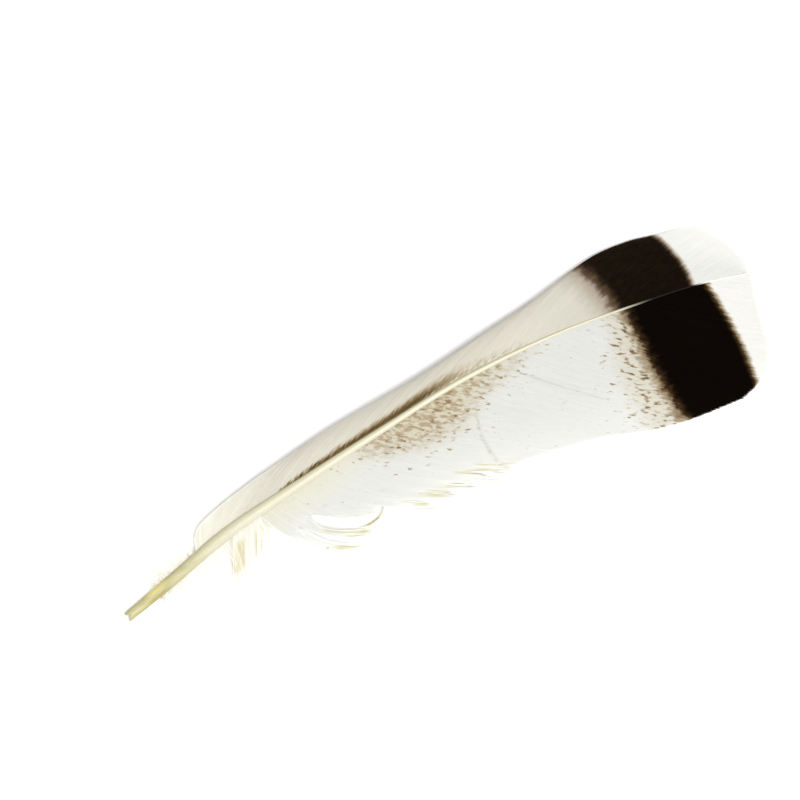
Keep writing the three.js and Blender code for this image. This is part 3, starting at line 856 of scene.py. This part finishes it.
# Freckles: beside the shaft, as far out as near_shaft and as dense as crowded, and ahead of the
# band. Where they are dense a veil and blotches lie under them.
band = place_group(tree, dark_band, {
    "X": x, "Y": y, "Root": root, "Chance": chance, "Start": 231.8, "Start Bend": 0.0020,
    "End": 267.7, "End Bend": -0.003, "Middle": -13.0, "Start Soft": 5.6, "End Soft": 2.7,
    "Teeth": 1.1, "Mottle": 5.0})
near_shaft = profile(tree, root, 44.0, (
    (86, 0), (95, 10), (104, 19), (112, 29), (122, 34), (131, 36), (141, 33), (151, 27),
    (161, 22), (172, 19), (185, 14), (200, 9), (214, 0)))
crowded = profile(tree, root, 1.0, (
    (88, 0.0), (98, 0.25), (108, 0.52), (118, 0.78), (130, 0.96), (142, 1.0), (155, 0.92),
    (168, 0.8), (182, 0.62), (196, 0.4), (214, 0.0)))
beside = times(tree, ramp(tree, share_of(tree, out, near_shaft), 1.3, 0.0), crowded)
ahead = calc(tree, "DIVIDE", band["Before"], ramp(tree, out, 4.0, 44.0, 17.0, 27.0, "LINEAR"))
ahead = calc(tree, "POWER", ramp(tree, ahead, 1.0, 0.0), 0.65)
ahead = times(tree, ahead, ramp(tree, x, 240.0, 236.0))
freckled = calc(tree, "MAXIMUM", beside, ahead)
limit = ramp(tree, freckled, 0.0, 1.0, 0.78, 0.53, "LINEAR")
freckle_place = vector(tree, root, times(tree, plus(tree, out, times(tree, chance, 0.4)), 0.62))
over_limit = calc(tree, "SUBTRACT", noise(tree, freckle_place, 0.5, flat=True), limit)
patches = ramp(tree, noise(tree, freckle_place, 0.24, flat=True), 0.36, 0.62, 0.35, 1.0)
freckle = times(tree, ramp(tree, over_limit, -0.08, 0.08), patches)
core = times(tree, ramp(tree, over_limit, 0.01, 0.14, 0.0, 0.85), patches,
             ramp(tree, out, 2.0, 14.0, 0.6, 1.0))
veil = calc(tree, "MAXIMUM", ramp(tree, beside, 0.3, 0.95, 0.0, 0.9),
            ramp(tree, ahead, 0.35, 0.98, 0.0, 0.6))
plain = tint(tree, veil, plain, FRECKLE_TINT)
blotches = noise(tree, freckle_place, 0.42, 3.0, 0.6, flat=True)
blotches = times(tree, ramp(tree, blotches, 0.42, 0.64, 0.0, 0.8), ramp(tree, beside, 0.4, 0.9))
plain = tint(tree, blotches, plain, FRECKLE_TAN)
specks = noise(tree, vector(tree, root, times(tree, out, 1.3)), 0.2, 1.0, flat=True)
plain = tint(tree, ramp(tree, specks, 0.72, 0.86, 0.0, 0.16), plain, SHADE_AND_SPECK_GREY)
plain = tint(tree, times(tree, freckle, 0.9), plain, FRECKLE_TAN)
plain = tint(tree, core, plain, FRECKLE_BROWN)
fringed = times(tree, freckle, ramp(tree, band["Before"], 6.0, 0.0))
plain = tint(tree, fringed, plain, FRINGE_BROWN)
tip_white = tint(tree, ramp(tree, streaks, 0.4, 0.7, 0.0, 0.5), WIDE_TIP_AND_PAINTED_LIGHT, TIP_WHITE)
plain = tint(tree, ramp(tree, x, 255.0, 262.0), plain, tip_white)
tone = darkened(tree, band["Dark"], plain, FRINGE_TAN, FRINGE_BROWN, WIDE_BLACK)
finish_vane(tree, tone, streaks)

vane("narrow_vane", NARROW_VANE, 1, NARROW_VANE[0, 0], LAST_ROOT, 14, NARROW_SLITS, narrow_barbs)
vane("wide_vane", WIDE_VANE, -1, TORN_TO, LAST_ROOT, 15, WIDE_SLITS, wide_barbs)
vane("torn_locks", WIDE_VANE, -1, TORN_FROM, TORN_TO, 16, (), wide_barbs, torn)

# ---- The stray barbs ----
# A few barbs that have torn loose and dried in curls: one hangs from the corner of the tear, the
# others lie along the torn edge, still fast at one end.

# The four points of each curve: it runs from the first to the last, drawn towards the other two.
# Then its greatest width. The first two barbs are the olive ones.
STRAY_BARBS = np.array([
    [[111.8, -9.6, 3.2], [110.4, -13.4, 2.6], [105.4, -15.6, 1.6], [98.8, -13.4, 1.4]],
    [[111.4, -9.4, 3.0], [109.8, -14.0, 2.2], [104.6, -15.0, 1.2], [100.4, -14.6, 1.2]],
    [[112.6, -7.0, 4.2], [112.2, -8.6, 3.8], [111.4, -10.2, 3.4], [110.6, -11.8, 3.0]],
    [[112.8, -5.0, 5.4], [114.6, -6.6, 5.2], [117.0, -7.4, 5.2], [120.6, -8.2, 5.0]],
    [[120.0, -16.2, 2.4], [124.0, -19.4, 1.9], [128.6, -21.6, 1.6], [133.4, -23.6, 1.2]],
    [[144.0, -19.6, 1.8], [148.0, -22.6, 1.6], [152.0, -24.8, 1.4], [156.0, -26.6, 1.2]],
    [[150.0, -15.0, 1.9], [154.4, -19.4, 1.8], [159.6, -22.4, 1.6], [166.6, -26.4, 1.2]],
    [[134.6, -20.0, 1.8], [138.6, -22.6, 1.6], [142.0, -24.2, 1.4], [146.0, -26.0, 1.0]]])
STRAY_WIDTHS = np.array([0.85, 0.45, 0.6, 0.5, 0.5, 0.4, 0.45, 0.36])
STRAY_LENGTH = 20.0
STRAY_OLIVE = colour(152, 141, 78)
STRAY_GREY = colour(178, 176, 160)
STRAY_PALE = colour(205, 204, 190)

stray_horn, tree = new_material("stray_horn")
root, out, chance = barb_facts(tree)
patches = noise(tree, vector(tree, root, out), 0.5, flat=True)
tone = tint(tree, ramp(tree, patches, 0.4, 0.62), STRAY_OLIVE, STRAY_GREY)
tone = tint(tree, ramp(tree, out, 9.0, 3.0), tone, STRAY_PALE)
tone = tint(tree, ramp(tree, chance, 0.3, 0.7), tone, STRAY_GREY)
finish_vane(tree, tone, patches)

s = np.linspace(0.0, 1.0, 20)[None, :, None]
a, b, c, d = (STRAY_BARBS[:, i, None] for i in range(4))
lines = (1 - s) ** 3 * a + 3 * s * (1 - s) ** 2 * b + 3 * s ** 2 * (1 - s) * c + s ** 3 * d
s = s[..., 0]
half_width = STRAY_WIDTHS[:, None] / 2 * (0.2 + 0.8 * np.sin(np.pi * s) ** 0.8)
up = np.zeros_like(lines) + (0.0, 0.0, 1.0)
rings = blades(lines, up, half_width, half_width * 0.5, np.zeros_like(half_width))
greyer = np.where(np.arange(len(lines)) < 2, 0.0, 1.0)[:, None]
extra = facts(lines[..., 0], STRAY_LENGTH * s, greyer)
piece("stray_barbs", closed_mesh("stray_barbs", rings, extra), stray_horn)

# ---- The down ----
# Below the vanes the barbs are soft and unhooked: fine white threads with tiny side hairs, short
# beside the quill and longer towards the vanes, which hang back over it.

# The same columns as for the vanes.
NARROW_DOWN = np.array([
    [17, 13.5, 7.6, 1.4, 0.0],
    [24, 18.5, 12.6, 1.6, 0.0],
    [30, 25.0, 17.0, 2.2, 0.0],
    [36, 34.0, 17.8, 3.4, 0.0]], float)
WIDE_DOWN = np.array([
    [16, 13.4, -2.0, 0.5, 0.0],
    [24, 22.8, -3.4, 0.5, 0.0],
    [30, 31.8, -6.4, 0.5, 0.02],
    [36, 37.4, -9.6, 0.5, 0.04],
    [42, 41.8, -12.0, 0.6, 0.04],
    [48, 45.2, -12.6, 0.6, 0.0],
    [54, 50.8, -11.8, 0.8, -0.12],
    [60, 55.4, -12.0, 1.0, -0.28],
    [65.5, 60.4, -9.6, 1.2, -0.42]], float)
SOFT_LOCK = np.array([
    [55.5, 43.6, -9.8, 0.8, 0.02],
    [60, 46.8, -12.4, 0.8, 0.0],
    [64, 49.8, -12.6, 0.9, -0.05],
    [68, 53.6, -11.4, 1.0, -0.12]], float)

# From thread to thread, the rings of one, half its width and thickness, from tuft to tuft, and how
# much shorter a tuft and a thread may be, as shares. Then how many side hairs a thread has to each
# side, and their length and half width.
DOWN_STEP = 0.34
DOWN_RINGS = 14
DOWN_HALF_WIDTH, DOWN_HALF_THICK = 0.09, 0.05
TUFT_STEP = 2.3
TUFT_SHORT, THREAD_SHORT = 0.3, 0.2
HAIRS_A_SIDE = 24
HAIR_LENGTH = 1.9
HAIR_HALF_WIDTH = 0.022
DOWN_LIGHT = colour(246, 245, 238)
DOWN_CREAM = colour(239, 237, 225)
DOWN_OLIVE = colour(198, 189, 140)

down_white, tree = new_material("down_white")
root, out, chance = barb_facts(tree)
wisps = noise(tree, vector(tree, root, times(tree, out, 0.06)), 1.0, flat=True)
tone = tint(tree, ramp(tree, wisps, 0.35, 0.7), DOWN_LIGHT, DOWN_CREAM)
# Painted shade: beside the foot of the wide vane the down is darker cream near the shaft, under the
# vane's first locks.
painted_shading = times(tree, ramp(tree, root, 53.0, 57.0, 0.0, 0.4), ramp(tree, out, 12.0, 3.0))
tone = tint(tree, painted_shading, tone, FOOT_CREAM_LIGHT_AND_SHADE)
olive = plus(tree, ramp(tree, root, 61.2, 59.8),
             times(tree, ramp(tree, wisps, 0.5, 0.6), ramp(tree, root, 64.0, 65.5)))
olive = times(tree, olive, ramp(tree, root, 54.0, 56.5, 0.0, 0.72),
              between(tree, out, 3.0, 7.0, 15.0, 19.5))
tone = tint(tree, olive, tone, DOWN_OLIVE)
finish_vane(tree, tone, wisps, smoothest=0.7, roughest=0.85, through=0.45)


def ragged(roots, t):
    """How a soft lock's barbs stray: they end unevenly and lean a little to and fro. With no t, how
    far out each barb reaches."""
    own_dice = np.random.default_rng(5)
    reach = 1 - 0.16 * own_dice.uniform(0, 1, len(roots)) ** 2
    if t is None:
        return reach
    lean = own_dice.normal(0, 0.1, (len(roots), 1)) * (1.0, 0.3, 0.2)
    return lean[:, None] * (t ** 2)[..., None]


def down(name, rows, side):
    """Loose barbs in tufts, with side hairs, as two meshes: the threads are thin blades along wavy
    lines, drawn together tuft by tuft, and each hair is a curved sliver with three sides."""
    roots = np.arange(rows[0, 0], rows[-1, 0], DOWN_STEP)
    count = len(roots)
    tuft = (roots // TUFT_STEP).astype(int) - int(roots[0] // TUFT_STEP)
    chance = dice.uniform(0, 1, count)
    reach = 1 - TUFT_SHORT * dice.uniform(0, 1, tuft[-1] + 1)[tuft] - THREAD_SHORT * chance
    t = ways_out(side, roots, rows, DOWN_RINGS, reach)
    lines = barb_lines(rows, side, roots, t)
    lean = dice.normal(0, 1.2, tuft[-1] + 1)[tuft]
    lean = lean - 0.7 * (roots % TUFT_STEP - TUFT_STEP / 2)
    lines[..., 0] += lean[:, None] * t ** 1.6
    sway = dice.uniform(0.2, 0.9, (count, 1)) * t ** 1.3
    phase = dice.uniform(0, 6.28, (count, 1))
    turns = dice.uniform(4.0, 9.0, (count, 1))
    lines[..., 0] += sway * np.sin(t * turns + phase)
    lines[..., 1] += 0.5 * sway * np.sin(t * turns * 0.8 + phase * 1.7)
    lines[..., 2] += np.abs(dice.normal(0, 0.35, (count, 1))) * np.sin(np.pi * t)
    up = np.zeros_like(lines) + (0.0, 0.0, 1.0)
    taper = 1 - 0.7 * (t / reach[:, None]) ** 2
    rings = blades(lines, up, DOWN_HALF_WIDTH * taper, DOWN_HALF_THICK * taper, np.zeros_like(t))
    extra = facts(roots[:, None], way_along(lines), chance[:, None])
    piece(name, closed_mesh(name, rings, extra), down_white)

    at = np.tile(np.linspace(0.1, 0.96, HAIRS_A_SIDE), 2)
    hand = np.repeat([1.0, -1.0], HAIRS_A_SIDE)[None, :, None]
    low = np.floor(at * (DOWN_RINGS - 1)).astype(int)
    part = (at * (DOWN_RINGS - 1) - low)[None, :, None]
    foot = lines[:, low] * (1 - part) + lines[:, low + 1] * part
    along = unit(lines[:, low + 1] - lines[:, low])
    beside = unit(np.cross(up[:, low], along)) * hand
    spread = (count, 2 * HAIRS_A_SIDE, 1)
    size = HAIR_LENGTH * dice.uniform(0.5, 1.0, spread) * (1 - 0.5 * at[None, :, None])
    toward = unit(beside + along * dice.uniform(0.2, 0.9, spread)
                  + dice.normal(0, 0.3, spread) * up[:, low])
    bend = along * dice.uniform(-0.2, 0.6, spread)
    s = np.array([0.0, 0.5, 1.0])[:, None]
    hairs = foot[..., None, :] + size[..., None] * (toward[..., None, :] * s
                                                    + bend[..., None, :] * s ** 2)
    angle = np.arange(3) / 3 * 2 * np.pi
    across = unit(np.cross(toward, up[:, low]))
    ring = (across[..., None, :] * np.cos(angle)[:, None]
            + up[:, low][..., None, :] * np.sin(angle)[:, None])
    thin = np.array([1.0, 0.8, 0.15])[:, None, None] * HAIR_HALF_WIDTH
    rings = hairs[..., None, :] + ring[..., None, :, :] * thin
    rings[..., 2] = np.maximum(rings[..., 2], BARB_LOWEST)
    rings = rings.reshape(-1, 3, 3, 3)
    extra = rings * (1.0, 0.0, 0.0)
    piece(name + "_hairs", closed_mesh(name + "_hairs", rings, extra), down_white)


down("narrow_down", NARROW_DOWN, 1)
down("wide_down", WIDE_DOWN, -1)
vane("soft_lock", SOFT_LOCK, -1, SOFT_LOCK[0, 0], SOFT_LOCK[-1, 0], 12, (), down_white, ragged)
